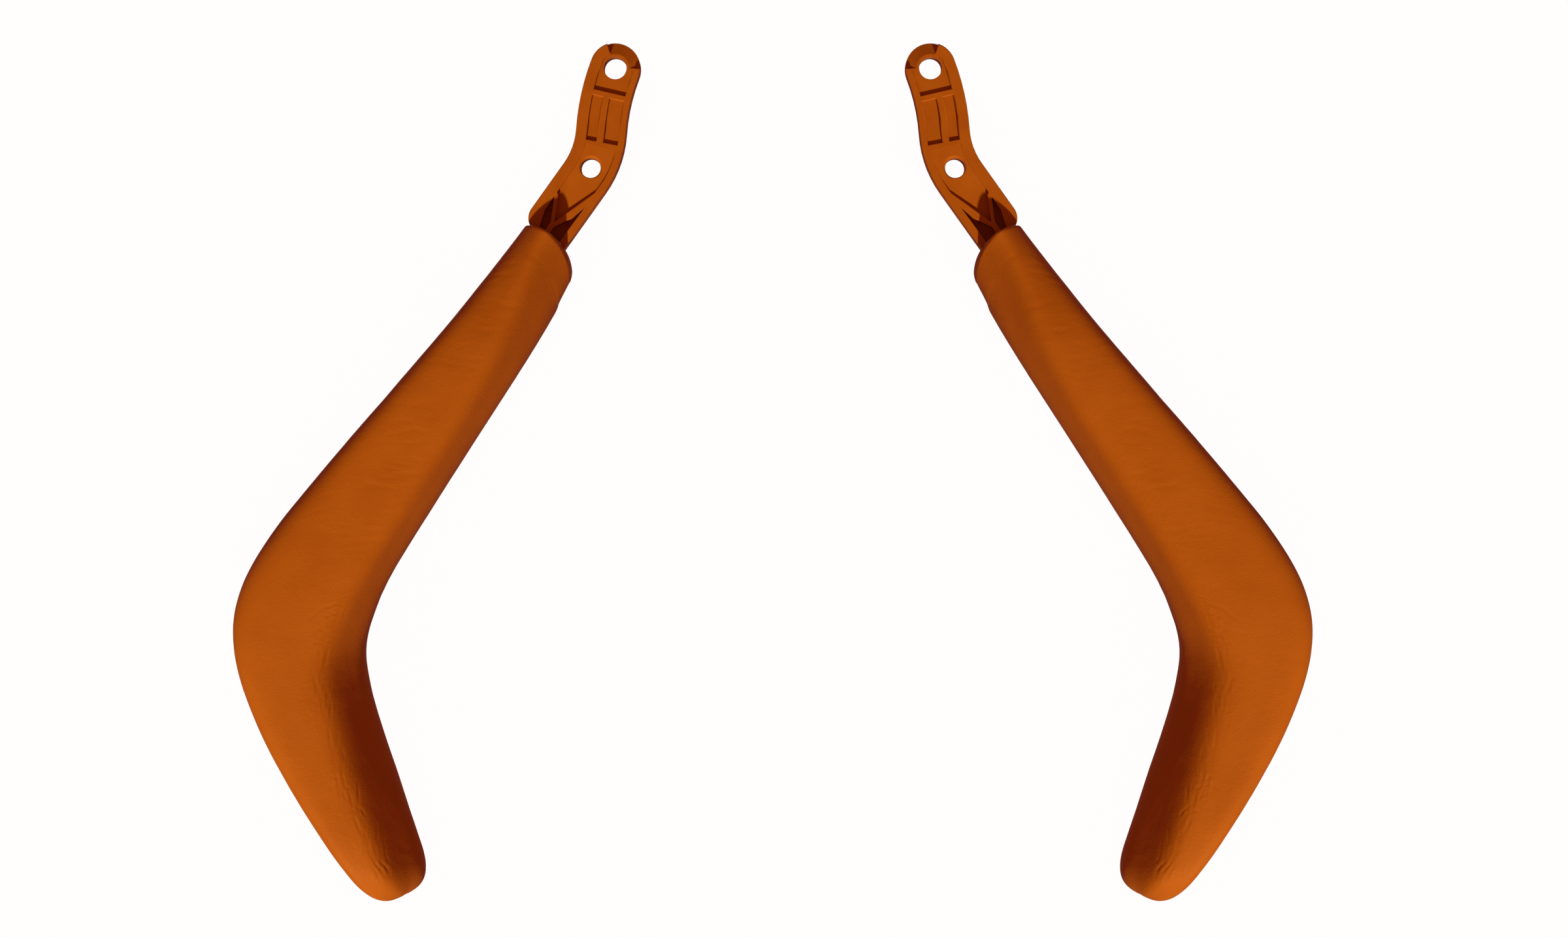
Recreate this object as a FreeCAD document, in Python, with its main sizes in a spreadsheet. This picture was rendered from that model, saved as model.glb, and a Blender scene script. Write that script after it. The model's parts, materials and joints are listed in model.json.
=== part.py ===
import FreeCAD, Part
import math
import os

from FreeCAD import Placement, Rotation, Vector

# A left and right pair of upholstered chair arms, lying on their backs.
# Each arm is a ribbed mounting bracket that runs on inside a padded leather sleeve as a spar.
# Frame: +X to the right, +Y towards the brackets, +Z up. The floor is z = 0, and the pair is
# centred on the origin. The right arm is modelled, and the left arm is its mirror image.

DIMENSIONS = {
    # the arm moulding
    "nose_x": (84.8, "upper hole of the right arm, from the mirror plane"),
    "nose_y": (217.79, "upper hole of the right arm, from the middle of the pair"),
    "frame_back": (14.0, "height of the moulding's back face above the floor"),
    "frame_thick": (14.0, "thickness of the moulding"),
    "bracket_half": (13.5, "half width of the bracket"),
    "rim_outer": (7.4, "inner edge of the outer rim, from the spine"),
    "rim_inner": (9.8, "inner edge of the inner rim, from the spine"),
    "spar_outer": (6.5, "outer edge of the hidden spar, from the spine"),
    "spar_inner": (13.5, "inner edge of the hidden spar, from the spine"),
    "upper_bore": (6.1, "radius of the upper bolt hole"),
    "lower_bore": (5.4, "radius of the lower bolt hole"),
    "lead_in": (1.5, "width and height of the lead-in round the lower bolt hole"),
    "lead_in_base": (26.0, "height above the floor where the lead-in starts"),
    "hole_pitch": (55.7, "lower hole, along the spine from the upper one"),
    "recess_deep": (1.9, "depth of the three upper recesses"),
    "truss_deep": (6.5, "depth of the pockets between the truss ribs"),
    "plate_step": (0.4, "depth of the plate where it starts"),
    "plate_slope": (3.9, "slope of the plate round the lower hole, degrees"),
    "pad_proud": (1.0, "height of the mounting pad on the back"),
    "pad_half": (10.5, "half width of the mounting pad"),
    "edge_round": (0.6, "rounding of the rim's front edge"),
    # the padded sleeve
    "leather_thick": (1.4, "thickness of the leather"),
    "wadding_thick": (3.0, "thickness of the wadding"),
    "plate_thick": (3.0, "thickness of the collar plate"),
    "collar_arc": (25.0, "plan radius of the sleeve's collar"),
    "collar_at": (122.3, "centre of that radius, along the spine"),
    "collar_aside": (2.6, "centre of that radius, inwards of the spine"),
    "seam_inset": (7.0, "closing seam, in from the sleeve's outline"),
    "seam_gap": (1.0, "width of the closing seam"),
    "thread_half": (0.3, "radius of the sewing thread"),
    "stitch_length": (4.0, "length of one stitch"),
    "stitch_pitch": (8.0, "distance from stitch to stitch"),
    # small hardware
    "tab_start": (101.0, "where the collar plate's tab starts, along the spine"),
    "tab_length": (28.0, "length of the collar plate's tab"),
    "tab_width": (13.0, "width of the collar plate's tab"),
    "tab_thick": (2.5, "thickness of the collar plate's tab"),
    "screw_half": (1.75, "radius of a collar screw's shank"),
    "screw_length": (10.0, "length of a collar screw below its head"),
    "screw_head_half": (3.5, "radius of a collar screw's head"),
    "screw_head_high": (2.2, "height of a collar screw's head"),
    "screw_pitch": (11.0, "distance between the collar screws"),
    "staple_wide": (9.0, "width of a staple's crown"),
    "staple_leg": (3.6, "length of a staple's legs"),
    "staple_wire": (0.7, "thickness of a staple's wire"),
}

# The spine is the moulding's middle line in plan. Its lean is the angle off -Y, towards +X.
NOSE_LEAN = 21.0
WAIST_LEAN = 4.0
SLEEVE_LEAN = 35.5
TIP_LEAN = -25.0
NECK_RADIUS = 118.0
WAIST_RADIUS = 49.0
SLEEVE_RUN = 239.3
ELBOW_RADIUS = 99.0

# Sleeve stations: distance along the spine, outer edge and inner edge from the spine, height of
# the front, how far across from the inner edge the ridge stands, as a share of the width, the
# shares of the height where the inner side starts to lean in and where the outer shoulder stands,
# and how far across that shoulder stands.
STATIONS = [
    (84.0, 11.2, 22.5, 43.0, 0.64, 0.50, 0.78, 0.91),
    (104.0, 11.2, 23.5, 45.0, 0.62, 0.50, 0.80, 0.91),
    (124.0, 11.4, 27.4, 47.0, 0.52, 0.50, 0.86, 0.91),
    (150.0, 12.4, 30.6, 49.5, 0.34, 0.54, 0.94, 0.91),
    (182.0, 14.6, 32.3, 51.0, 0.24, 0.56, 0.98, 0.91),
    (216.0, 17.4, 33.6, 51.0, 0.19, 0.56, 1.00, 0.91),
    (250.0, 20.8, 35.4, 51.0, 0.17, 0.56, 1.00, 0.91),
    (282.0, 23.9, 37.0, 51.0, 0.16, 0.55, 1.00, 0.91),
    (308.0, 26.2, 39.6, 51.0, 0.16, 0.54, 1.00, 0.91),
    (330.0, 30.6, 40.6, 51.0, 0.18, 0.54, 1.00, 0.92),
    (350.0, 33.2, 39.0, 50.5, 0.21, 0.52, 1.00, 0.93),
    (370.0, 30.4, 37.4, 50.0, 0.26, 0.48, 1.00, 0.94),
    (392.0, 25.8, 37.0, 49.0, 0.31, 0.46, 1.02, 0.95),
    (418.0, 24.2, 33.8, 48.0, 0.35, 0.44, 1.02, 0.96),
    (446.0, 21.5, 30.9, 47.0, 0.39, 0.42, 1.02, 0.96),
    (470.0, 18.2, 27.6, 45.5, 0.44, 0.42, 1.02, 0.96),
    (490.0, 14.6, 25.6, 42.5, 0.50, 0.42, 1.02, 0.96),
    (502.0, 11.4, 23.6, 38.0, 0.51, 0.46, 0.96, 0.95),
    (509.5, 6.0, 18.5, 30.0, 0.50, 0.54, 1.00, 0.94),
    (511.0, 1.0, 13.0, 24.0, 0.50, 0.56, 1.00, 0.94),
]

doc = FreeCAD.newDocument("chair_arm_pair")
sheet = doc.addObject("Spreadsheet::Sheet", "dims")
for row, (alias, (value, note)) in enumerate(DIMENSIONS.items(), start=1):
    sheet.set(f"A{row}", alias)
    sheet.set(f"B{row}", str(value))
    sheet.set(f"C{row}", note)
    sheet.setAlias(f"B{row}", alias)
doc.recompute()


def dim(alias):
    """The value of one driving dimension."""
    return float(getattr(sheet, alias))


# ---------------------------------------------------------------- the spine

NECK_END = NECK_RADIUS * math.radians(NOSE_LEAN - WAIST_LEAN)
WAIST_END = NECK_END + WAIST_RADIUS * math.radians(SLEEVE_LEAN - WAIST_LEAN)
ELBOW_START = WAIST_END + SLEEVE_RUN
ELBOW_END = ELBOW_START + ELBOW_RADIUS * math.radians(SLEEVE_LEAN - TIP_LEAN)
SPINE_BREAKS = [NECK_END, WAIST_END, ELBOW_START, ELBOW_END]


def forward(lean):
    """Unit vector along the spine."""
    angle = math.radians(lean)
    return Vector(math.sin(angle), -math.cos(angle), 0)


def outward(lean):
    """Unit vector across the spine, towards the arm's outer side."""
    angle = math.radians(lean)
    return Vector(math.cos(angle), math.sin(angle), 0)


def turn(start, lean, radius, length, inwards):
    """Follow an arc of the spine that starts at a point, and give its end and new lean."""
    side = -1.0 if inwards else 1.0
    centre = start + outward(lean) * radius * side
    new_lean = lean + math.degrees(length / radius) * side
    return centre - outward(new_lean) * radius * side, new_lean


def spine(along):
    """The spine's point and lean at a distance along it, from the upper hole's axis."""
    point = Vector(0, 0, 0)
    if along <= 0:
        return point + forward(NOSE_LEAN) * along, NOSE_LEAN
    point, lean = turn(point, NOSE_LEAN, NECK_RADIUS, min(along, NECK_END), True)
    if along <= NECK_END:
        return point, lean
    point, lean = turn(point, lean, WAIST_RADIUS, min(along, WAIST_END) - NECK_END, False)
    if along <= WAIST_END:
        return point, lean
    point = point + forward(lean) * (min(along, ELBOW_START) - WAIST_END)
    if along <= ELBOW_START:
        return point, lean
    point, lean = turn(point, lean, ELBOW_RADIUS, min(along, ELBOW_END) - ELBOW_START, True)
    return point + forward(lean) * max(along - ELBOW_END, 0), lean


def place(along, aside, height=0.0):
    """A point given along the spine and across it, positive towards the outer side."""
    point, lean = spine(along)
    return point + outward(lean) * aside + Vector(0, 0, height)


def line(first, last):
    return Part.LineSegment(first, last)


def run(aside, start, end):
    """Edges that keep a constant distance from the spine, from one place along it to another."""
    low, high = min(start, end), max(start, end)
    cuts = [low] + [stop for stop in SPINE_BREAKS if low < stop < high] + [high]
    if end < start:
        cuts.reverse()
    edges = []
    for first, last in zip(cuts, cuts[1:]):
        middle = (first + last) / 2
        ends = place(first, aside), place(last, aside)
        straight = WAIST_END < middle < ELBOW_START or middle > ELBOW_END or middle < 0
        if straight:
            edges.append(line(*ends))
        else:
            edges.append(Part.Arc(ends[0], place(middle, aside), ends[1]))
    return edges


def polyline(*points):
    """Straight edges through points given along and across the spine."""
    spots = [place(*point) for point in points]
    return [line(first, last) for first, last in zip(spots, spots[1:])]


# ---------------------------------------------------------------- document helpers

FRAME_SPOT = Placement(Vector(dim("nose_x"), dim("nose_y"), dim("frame_back")), Rotation())
PLAN_SPOT = Placement(Vector(dim("nose_x"), dim("nose_y"), 0), Rotation())


def origin_plane(body, role):
    for feature in body.Origin.OriginFeatures:
        if feature.Role == role:
            return feature
    raise ValueError(role)


def flat_sketch(body, name, edges, height=None):
    """A sketch on the body's base plane, or raised above it by an expression."""
    sketch = body.newObject("Sketcher::SketchObject", name)
    sketch.AttachmentSupport = [(origin_plane(body, "XY_Plane"), "")]
    sketch.MapMode = "FlatFace"
    if height:
        sketch.setExpression(".AttachmentOffset.Base.z", height)
    for edge in edges:
        sketch.addGeometry(edge, False)
    return sketch


def pad(body, name, sketch, length, downwards=False):
    feature = body.newObject("PartDesign::Pad", name)
    feature.Profile = sketch
    feature.setExpression("Length", length)
    feature.Reversed = downwards
    sketch.Visibility = False
    body.Tip = feature
    return feature


def pocket(body, name, sketch, depth):
    """Cut the sketch downwards into the solid, and make sure that it removed something."""
    doc.recompute()
    before = body.Shape.Volume
    feature = body.newObject("PartDesign::Pocket", name)
    feature.Profile = sketch
    feature.setExpression("Length", depth)
    body.Tip = feature
    doc.recompute()
    if body.Shape.Volume > before - 0.1:
        raise RuntimeError(f"{name} cuts nothing")
    return feature


def boolean(kind, name, first, second):
    feature = doc.addObject(f"Part::{kind}", name)
    feature.Base = first
    feature.Tool = second
    return feature


def merge(name, *pieces):
    feature = doc.addObject("Part::MultiFuse", name)
    feature.Shapes = list(pieces)
    return feature


def shaped(name, shape, spot=None):
    """A feature whose shape is built by Part's own functions."""
    feature = doc.addObject("Part::Feature", name)
    feature.Shape = shape
    feature.Placement = spot or Placement()
    return feature


def carved(name, body, tool):
    """A cut made straight on the two shapes, for a spar that runs through the padding lengthwise."""
    doc.recompute()
    return shaped(name, body.Shape.cut(tool.Shape), Placement())


# ---------------------------------------------------------------- the arm moulding

def frame_outline():
    """Nose, S-shaped bracket, shoulder, hidden spar and its square end."""
    half = dim("bracket_half")
    spar_end = 486.0
    nose_tip = forward(NOSE_LEAN) * -half
    nose = Part.Arc(place(0, -half), nose_tip, place(0, half))
    shoulder_start, shoulder_radius, shoulder_turn = 92.0, 9.0, math.radians(64)
    spar_start = 108.0

    def shoulder(angle):
        return place(shoulder_start + shoulder_radius * math.sin(angle),
                     half - shoulder_radius * (1 - math.cos(angle)))

    edges = [nose]
    edges += run(half, 0, shoulder_start)
    edges.append(Part.Arc(shoulder(0), shoulder(shoulder_turn / 2), shoulder(shoulder_turn)))
    edges.append(line(shoulder(shoulder_turn), place(spar_start, dim("spar_outer"))))
    edges += run(dim("spar_outer"), spar_start, spar_end)
    edges += polyline((spar_end, dim("spar_outer")), (spar_end, -dim("spar_inner")))
    edges += run(-dim("spar_inner"), spar_end, 0)
    return edges


def nose_recess():
    """Recess round the upper hole, down to the first cross rib, open where the rim stops."""
    rim_out, rim_in = dim("rim_outer"), dim("rim_inner")
    crown = place(-9.3, -1.2)
    edges = [Part.Arc(place(0, -rim_in), crown, place(0, rim_out))]
    edges += run(rim_out, 0, 13.8)
    edges += polyline((13.8, rim_out), (13.4, -rim_in))
    edges += run(-rim_in, 13.4, 0)
    return edges


def middle_recess(inner, outer):
    """One of the two recesses between the cross ribs, between two distances from the spine."""
    start, end = 17.0, 40.8
    edges = run(outer, start, end)
    edges += polyline((end, outer), (end, inner))
    edges += run(inner, end, start)
    edges += polyline((start, inner), (start, outer))
    return edges


def outer_truss_pocket():
    """Pocket between the outer rim, the slanting branch and the stem of the truss."""
    return polyline((79.8, 7.2), (88.2, 7.2), (97.4, 4.2), (104.0, 3.4), (104.0, 0.6),
                    (92.2, 0.8), (79.8, 7.2))


def inner_truss_pocket():
    """Pocket between the inner rim, the diagonal and the stem of the truss."""
    return polyline((75.0, -9.6), (104.0, -9.3), (104.0, -2.2), (93.5, -2.0), (84.0, -7.2),
                    (75.0, -9.6))


def plate_outline():
    """The plate round the lower hole, from the second cross rib to the truss."""
    rim_out = dim("rim_outer")
    edges = run(rim_out, 43.6, 76.5)
    edges += polyline((76.5, rim_out), (77.5, 6.0), (90.6, -0.8), (65.5, -9.2))
    edges += run(-9.2, 65.5, 43.6)
    edges += polyline((43.6, -9.2), (43.6, rim_out))
    return edges


def make_frame_blank():
    """The whole moulding's envelope, with no recess or hole."""
    body = doc.addObject("PartDesign::Body", "frame_blank")
    sketch = flat_sketch(body, "blank_outline", frame_outline())
    pad(body, "blank_pad", sketch, "dims.frame_thick")
    body.Placement = FRAME_SPOT
    return body


def round_rim(solid):
    """Round the front edges of rims and ribs, except where the plate starts with its low step."""
    doc.recompute()
    top = FRAME_SPOT.Base.z + dim("frame_thick")
    bracket_end = place(102.0, 0).y + FRAME_SPOT.Base.y
    step_end = place(68.0, 0).y + FRAME_SPOT.Base.y
    plate = Part.Wire([edge.toShape() for edge in plate_outline()])
    plate.Placement = Placement(FRAME_SPOT.Base + Vector(0, 0, dim("frame_thick")), Rotation())
    chosen = []
    for index, edge in enumerate(solid.Shape.Edges, start=1):
        box = edge.BoundBox
        level = abs(box.ZMin - top) < 0.01 and box.ZLength < 0.01
        middle = Part.Vertex(edge.valueAt((edge.FirstParameter + edge.LastParameter) / 2))
        on_step = box.YMax > step_end and plate.distToShape(middle)[0] < 0.01
        if level and box.YMin > bracket_end and not on_step:
            chosen.append((index, dim("edge_round"), dim("edge_round")))
    fillet = doc.addObject("Part::Fillet", "rim_round")
    fillet.Base = solid
    fillet.Edges = chosen
    return fillet


def make_moulding():
    """The ribbed moulding, made as one body."""
    body = doc.addObject("PartDesign::Body", "moulding")
    outline = flat_sketch(body, "moulding_outline", frame_outline())
    pad(body, "moulding_pad", outline, "dims.frame_thick")

    half = dim("pad_half")
    pad_end = 86.0
    edges = [Part.Arc(place(0, -half), forward(NOSE_LEAN) * -half, place(0, half))]
    edges += run(half, 0, pad_end)
    edges += polyline((pad_end, half), (pad_end, -half))
    edges += run(-half, pad_end, 0)
    mounting = flat_sketch(body, "mounting_outline", edges)
    pad(body, "mounting_pad", mounting, "dims.pad_proud", downwards=True)

    top = "dims.frame_thick"
    recesses = {
        "nose_recess": (nose_recess(), "dims.recess_deep"),
        "outer_recess": (middle_recess(1.9, dim("rim_outer")), "dims.recess_deep"),
        "inner_recess": (middle_recess(-dim("rim_inner"), -2.0), "dims.recess_deep"),
        "outer_truss_pocket": (outer_truss_pocket(), "dims.truss_deep"),
        "inner_truss_pocket": (inner_truss_pocket(), "dims.truss_deep"),
    }
    for name, (edges, depth) in recesses.items():
        pocket(body, name, flat_sketch(body, f"{name}_outline", edges, top), depth)

    holes = {"upper_bore": place(0, 0), "lower_bore": place(dim("hole_pitch"), 0)}
    for name, centre in holes.items():
        circle = Part.Circle(centre, Vector(0, 0, 1), dim(name))
        sketch = flat_sketch(body, f"{name}_circle", [circle], top)
        pocket(body, name, sketch, "dims.frame_thick + dims.pad_proud + 1")

    nose_relief(body)
    body.Placement = FRAME_SPOT
    return body


def nose_relief(body):
    """Cut the rim away round the nose's inner side, sloping down and outwards."""
    doc.recompute()
    before = body.Shape.Volume
    floor = dim("frame_thick") - dim("recess_deep")
    sketch = body.newObject("Sketcher::SketchObject", "nose_relief_profile")
    sketch.AttachmentSupport = [(origin_plane(body, "XZ_Plane"), "")]
    sketch.MapMode = "FlatFace"
    inner_edge, past_outline = 7.5, 16.0
    fall = (past_outline - inner_edge) * math.tan(math.radians(22.0))
    start_angle = 72.0
    sketch.AttachmentOffset = Placement(Vector(), Rotation(Vector(0, 1, 0), start_angle))
    corners = [Vector(inner_edge, floor, 0), Vector(past_outline, floor - fall, 0),
               Vector(past_outline, 20, 0), Vector(inner_edge, 20, 0)]
    for first, last in zip(corners, corners[1:] + corners[:1]):
        sketch.addGeometry(line(first, last), False)
    groove = body.newObject("PartDesign::Groove", "nose_relief")
    groove.Profile = sketch
    groove.ReferenceAxis = (sketch, ["V_Axis"])
    groove.Angle = 110.0
    body.Tip = groove
    doc.recompute()
    if body.Shape.Volume > before - 1:
        raise RuntimeError("the nose relief cuts nothing")


def make_plate_recess():
    """The sloping recess round the lower hole, as a cutting tool."""
    outline = doc.addObject("Sketcher::SketchObject", "plate_outline")
    for edge in plate_outline():
        outline.addGeometry(edge, False)
    outline.Placement = FRAME_SPOT
    prism = doc.addObject("Part::Extrusion", "plate_prism")
    prism.Base = outline
    prism.DirMode = "Custom"
    prism.Dir = Vector(0, 0, 1)
    prism.setExpression("LengthFwd", "dims.frame_thick + 5")
    prism.Solid = True
    ramp = doc.addObject("Part::Box", "plate_ramp")
    ramp.Length = 80
    ramp.Width = 100
    ramp.Height = 30
    start, lean = spine(43.6)
    level = FRAME_SPOT.Base.z + dim("frame_thick") - dim("plate_step")
    corner = Vector(-40, -90, -30)
    down = Rotation(Vector(1, 0, 0), dim("plate_slope"))
    facing = Rotation(Vector(0, 0, 1), SLEEVE_LEAN * 0.75)
    turned = facing.multiply(down)
    spot = start + Vector(FRAME_SPOT.Base.x, FRAME_SPOT.Base.y, level)
    ramp.Placement = Placement(spot + turned.multVec(corner), turned)
    return boolean("Cut", "plate_recess", prism, ramp)


def make_lead_in():
    """The cone that opens the front of the lower bolt hole."""
    cone = doc.addObject("Part::Cone", "lead_in")
    cone.setExpression("Radius1", "dims.lower_bore")
    cone.setExpression("Radius2", "dims.lower_bore + dims.lead_in")
    cone.setExpression("Height", "dims.lead_in")
    centre = place(dim("hole_pitch"), 0, dim("lead_in_base")) + PLAN_SPOT.Base
    cone.Placement = Placement(centre, Rotation())
    return cone


# ---------------------------------------------------------------- the padded sleeve

def section(station, inset):
    """Control points of one cross-section: across the spine, and height above the floor."""
    _, outer, inner, front, ridge, lean_in, shoulder, corner = station
    wide = outer + inner - 2 * inset
    high = front - 2 * inset
    ridge_rise = 0.03
    shares = [
        (0.08, -0.12), (0.50, -0.14), (0.92, -0.12), (1.00, 0.10), (1.00, 0.44 * shoulder),
        (1.00, (corner - 0.16) * shoulder), (corner, 0.99 * shoulder),
        (0.5 + ridge * 0.5, 0.5 + 0.5 * shoulder),
        (ridge, 1.0 + ridge_rise), (ridge * 0.5, 0.5 + 0.5 * lean_in), (0.00, lean_in),
        (0.00, lean_in * 0.6), (0.00, 0.12),
    ]
    return [(-(inner - inset) + wide * across, inset + high * up) for across, up in shares]


def padding_solid(name, inset):
    """The sleeve's form, drawn in evenly by an inset, before its collar and back are trimmed."""
    rows = []
    for number, station in enumerate(STATIONS):
        along = station[0]
        if number >= len(STATIONS) - 3:
            along -= inset
        rows.append([place(along, aside, height) for aside, height in section(station, inset)])
    columns = len(rows[0])
    poles = [[row[column] for row in rows] for column in range(columns)]
    spans = len(rows) - 3
    surface = Part.BSplineSurface()
    surface.buildFromPolesMultsKnots(
        poles, [1] * (columns + 1), [4] + [1] * (spans - 1) + [4],
        list(range(columns + 1)), list(range(spans + 1)), True, False, 3, 3)
    skin = surface.toShape()
    caps = []
    for limit in (0, spans):
        rim = surface.vIso(limit).toShape()
        caps.append(Part.Face(Part.Wire([rim])))
    solid = Part.Solid(Part.Shell([skin] + caps))
    if solid.Volume < 0:
        solid.reverse()
    return shaped(name, solid, PLAN_SPOT)


def collar_keep(name, walls):
    """The plan area that the sleeve fills: round at the collar, and all beyond its centre."""
    radius = " - ".join(["dims.collar_arc"] + [f"dims.{wall}" for wall in walls])
    centre, lean = spine(dim("collar_at"))
    centre = centre - outward(lean) * dim("collar_aside") + PLAN_SPOT.Base
    round_end = doc.addObject("Part::Cylinder", f"{name}_round")
    round_end.setExpression("Radius", radius)
    round_end.Height = 80
    round_end.Placement = Placement(centre - Vector(0, 0, 10), Rotation())
    rest = doc.addObject("Part::Box", f"{name}_rest")
    rest.Length = 400
    rest.Width = 500
    rest.Height = 80
    facing = Rotation(Vector(0, 0, 1), SLEEVE_LEAN)
    corner = facing.multVec(Vector(-200, -500, -10))
    rest.Placement = Placement(centre + corner, facing)
    return merge(name, round_end, rest)


def above(name, height):
    """A slab that keeps everything above a height."""
    slab = doc.addObject("Part::Box", name)
    slab.Length = 400
    slab.Width = 600
    slab.Height = 80
    slab.setExpression(".Placement.Base.z", height)
    slab.Placement.Base = Vector(0, -300, 0)
    return slab


def layer(name, inset, walls, floor):
    """One trimmed form of the sleeve: its inset, its end walls and its back height."""
    form = padding_solid(f"{name}_form", inset)
    kept = boolean("Common", f"{name}_kept", form, collar_keep(f"{name}_collar", walls))
    return boolean("Common", name, kept, above(f"{name}_above", floor))


def seam_points(inset):
    """Plan points of a line drawn in from the sleeve's outline, outer side then inner side."""
    middle = [row for row in STATIONS if 110 < row[0] < 500]
    outer = [place(row[0], row[1] - inset) for row in middle]
    inner = [place(row[0], -(row[2] - inset)) for row in middle]
    return outer, inner


def seam_edges(inset):
    """Closed outline of the back panel: two curves, a round tip and a round collar end."""
    outer, inner = seam_points(inset)
    curves = []
    for points in (outer, inner):
        curve = Part.BSplineCurve()
        curve.interpolate(points)
        curves.append(curve)
    tip = Part.Arc(outer[-1], place(506.5 - inset * 0.35, -5.8), inner[-1])
    collar = Part.Arc(outer[0], place(112.0 + inset * 0.2, -8.2), inner[0])
    return [curves[0], tip, curves[1], collar]


def seam_wire(inset):
    return Part.Wire(Part.__sortEdges__([edge.toShape() for edge in seam_edges(inset)]))


def seam_prism(name, inset, low, high):
    """A flat plate in the shape of the back panel."""
    face = Part.Face(seam_wire(inset))
    face.translate(Vector(0, 0, low))
    return shaped(name, face.extrude(Vector(0, 0, high - low)), PLAN_SPOT)


def make_thread(channel):
    """A row of stitches lying in the closing seam, leaving out those that would cross its bends."""
    wire = seam_wire(dim("seam_inset"))
    count = int(wire.Length / dim("stitch_pitch"))
    height = Vector(0, 0, dim("leather_thick") / 2)
    points = wire.discretize(Number=2 * count + 1)
    stitches = []
    for before, middle, after in zip(points[0::2], points[1::2], points[2::2]):
        along = (after - before).normalize()
        start = middle + height - along * dim("stitch_length") / 2
        stitch = Part.makeCylinder(dim("thread_half"), dim("stitch_length"), start, along)
        if stitch.cut(channel).Volume < 0.001:
            stitches.append(stitch)
    return shaped("thread", Part.makeCompound(stitches), PLAN_SPOT)


# ---------------------------------------------------------------- collar hardware

def screw_spots():
    """Where the two collar screws stand, on the spar's back face."""
    middle = (dim("spar_outer") - dim("spar_inner")) / 2
    first = 111.0
    return [place(first + number * dim("screw_pitch"), middle) for number in range(2)]


def make_screws():
    """Two pan-head screws, driven up into the spar."""
    pieces = []
    for number, spot in enumerate(screw_spots(), start=1):
        base = spot + PLAN_SPOT.Base
        shank = doc.addObject("Part::Cylinder", f"screw_shank_{number}")
        shank.setExpression("Radius", "dims.screw_half")
        shank.setExpression("Height", "dims.screw_length")
        head = doc.addObject("Part::Cylinder", f"screw_head_{number}")
        head.setExpression("Radius", "dims.screw_head_half")
        head.setExpression("Height", "dims.screw_head_high")
        under_head = dim("frame_back") - dim("tab_thick")
        shank.Placement = Placement(base + Vector(0, 0, under_head), Rotation())
        head.Placement = Placement(base + Vector(0, 0, under_head - dim("screw_head_high")), Rotation())
        pieces.append(merge(f"screw_{number}", shank, head))
    group = doc.addObject("Part::Compound", "screws")
    group.Links = pieces
    return group


def make_tab():
    """The collar plate's tab, which lies on the back of the spar."""
    tab = doc.addObject("Part::Box", "collar_tab")
    for side, alias in (("Length", "tab_width"), ("Width", "tab_length"), ("Height", "tab_thick")):
        tab.setExpression(side, f"dims.{alias}")
    middle = (dim("spar_outer") - dim("spar_inner")) / 2
    corner = place(dim("tab_start") + dim("tab_length"), middle - dim("tab_width") / 2)
    low = dim("frame_back") - dim("tab_thick")
    spot = corner + PLAN_SPOT.Base + Vector(0, 0, low)
    tab.Placement = Placement(spot, Rotation(Vector(0, 0, 1), SLEEVE_LEAN))
    return tab


def make_staple(number, aside, height):
    """One staple, driven through the leather's end wall into the collar plate."""
    wire, wide, leg = dim("staple_wire"), dim("staple_wide"), dim("staple_leg")
    radius = dim("collar_arc")
    offset = aside + dim("collar_aside")
    swing = math.degrees(math.asin(offset / radius))
    along = dim("collar_at") - math.sqrt(radius ** 2 - offset ** 2)
    crown = Part.makeBox(wide, wire, wire, Vector(-wide / 2, -wire, 0))
    legs = [Part.makeBox(wire, leg, wire, Vector(start, -leg, 0))
            for start in (-wide / 2, wide / 2 - wire)]
    shape = crown.fuse(legs).removeSplitter()
    facing = Rotation(Vector(0, 0, 1), SLEEVE_LEAN - swing)
    spot = place(along, aside, height) + PLAN_SPOT.Base
    return shaped(f"staple_{number}", shape, Placement(spot, facing))


def make_staples():
    """Two staples above the moulding and two below it."""
    spots = [(-8.0, 7.0), (3.0, 7.0), (-6.5, 31.2), (4.0, 31.2)]
    group = doc.addObject("Part::Compound", "staple_set")
    group.Links = [make_staple(number, *spot) for number, spot in enumerate(spots, start=1)]
    return group


# ---------------------------------------------------------------- one arm

blank = make_frame_blank()
screws = make_screws()
staple_set = make_staples()
moulding = make_moulding()
front_cuts = merge("front_cuts", make_plate_recess(), make_lead_in())
ribbed = boolean("Cut", "ribbed_moulding", moulding, front_cuts)
rounded = round_rim(ribbed)
arm_frame = boolean("Cut", "drilled_moulding", rounded, screws)

# Forms of the sleeve, each inside the one before: leather, then plate, then wadding and foam.
outside = layer("outside", 0.0, [], "0")
lining = layer("lining", dim("leather_thick"), ["leather_thick"], "dims.leather_thick")
behind_plate = layer("behind_plate", dim("leather_thick"), ["leather_thick", "plate_thick"],
                     "dims.leather_thick")
core = layer("core", dim("leather_thick") + dim("wadding_thick"), ["leather_thick", "plate_thick"],
             "dims.leather_thick + dims.wadding_thick")

half_gap = dim("seam_gap") / 2
opening = seam_prism("back_opening", dim("seam_inset") - half_gap, -1.0, dim("leather_thick"))
back_cover = seam_prism("back_panel", dim("seam_inset") + half_gap, 0.0, dim("leather_thick"))
channel = opening.Shape.cut(back_cover.Shape)
channel.translate(-PLAN_SPOT.Base)
thread = make_thread(channel)

leather_skin = boolean("Cut", "leather_skin", outside, lining)
leather_cuts = merge("leather_cuts", blank, opening, staple_set)
front_cover = boolean("Cut", "front_leather", leather_skin, leather_cuts)

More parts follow.
